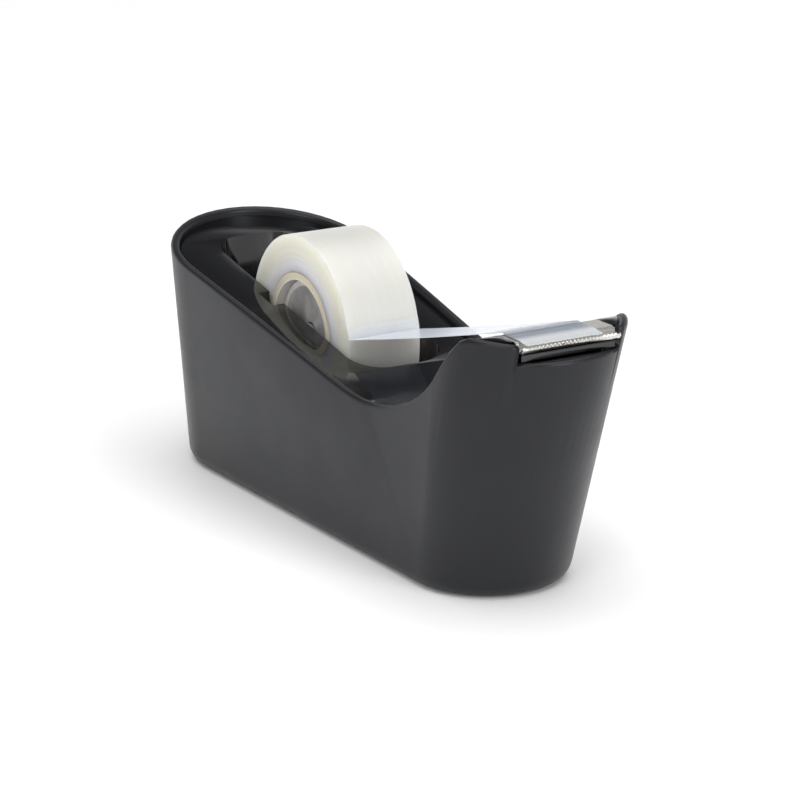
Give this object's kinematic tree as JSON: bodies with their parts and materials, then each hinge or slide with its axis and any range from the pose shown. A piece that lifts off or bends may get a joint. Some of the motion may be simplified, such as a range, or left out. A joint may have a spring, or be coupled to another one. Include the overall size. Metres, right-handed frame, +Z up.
{
  "type": "desktop tape dispenser",
  "caption": "Weighted desktop tape dispenser with an egg-shaped body, a sloping deck with a well for the tape roll, and a toothed cutter between two raised ears.",
  "frame": {"origin": "on the table under the middle of the dispenser's length and width", "axes": "+X towards the cutter end, +Z up, +Y to the left of someone looking along +X"},
  "size_m": [0.1584, 0.0522, 0.0647],
  "materials": {
    "body": "satin charcoal, fine moulded grain",
    "deck": "polished black",
    "base": "plain black",
    "foam": "non-skid foam",
    "steel": "bright stamped steel",
    "zinc": "plated screw steel",
    "iron": "as cast",
    "hub": "translucent grey",
    "core": "cream moulded ring",
    "tape": "frosted cream winding",
    "film": "clear film"
  },
  "bodies": {
    "dispenser": {"body_shell": "body", "deck_insert": "deck", "base_plate": "base", "nonskid_pad": "foam", "ballast_slab": "steel", "ballast_block": "iron", "cutter_blade": "steel", "tape_strip": "film", "base_screw_1": "zinc", "ballast_screw_1": "zinc", "base_screw_2": "zinc", "ballast_screw_2": "zinc", "base_screw_3": "zinc", "ballast_screw_3": "zinc", "base_screw_4": "zinc", "ballast_screw_4": "zinc"},
    "axle": {"hub_axle": "steel"},
    "roll": {"hub_spool": "hub", "hub_cap": "hub", "tape_core": "core", "tape_winding": "tape"}
  },
  "joints": [
    {"name": "axle_slide", "type": "slide", "parent": "dispenser", "child": "axle", "axis": [-1, 0, 0], "range_m": [0, 0.0104]},
    {"name": "roll_spin", "type": "hinge", "parent": "axle", "child": "roll", "pos_m": [-0.02037, 0, 0.0411], "axis": [0, 1, 0], "continuous": true}
  ]
}
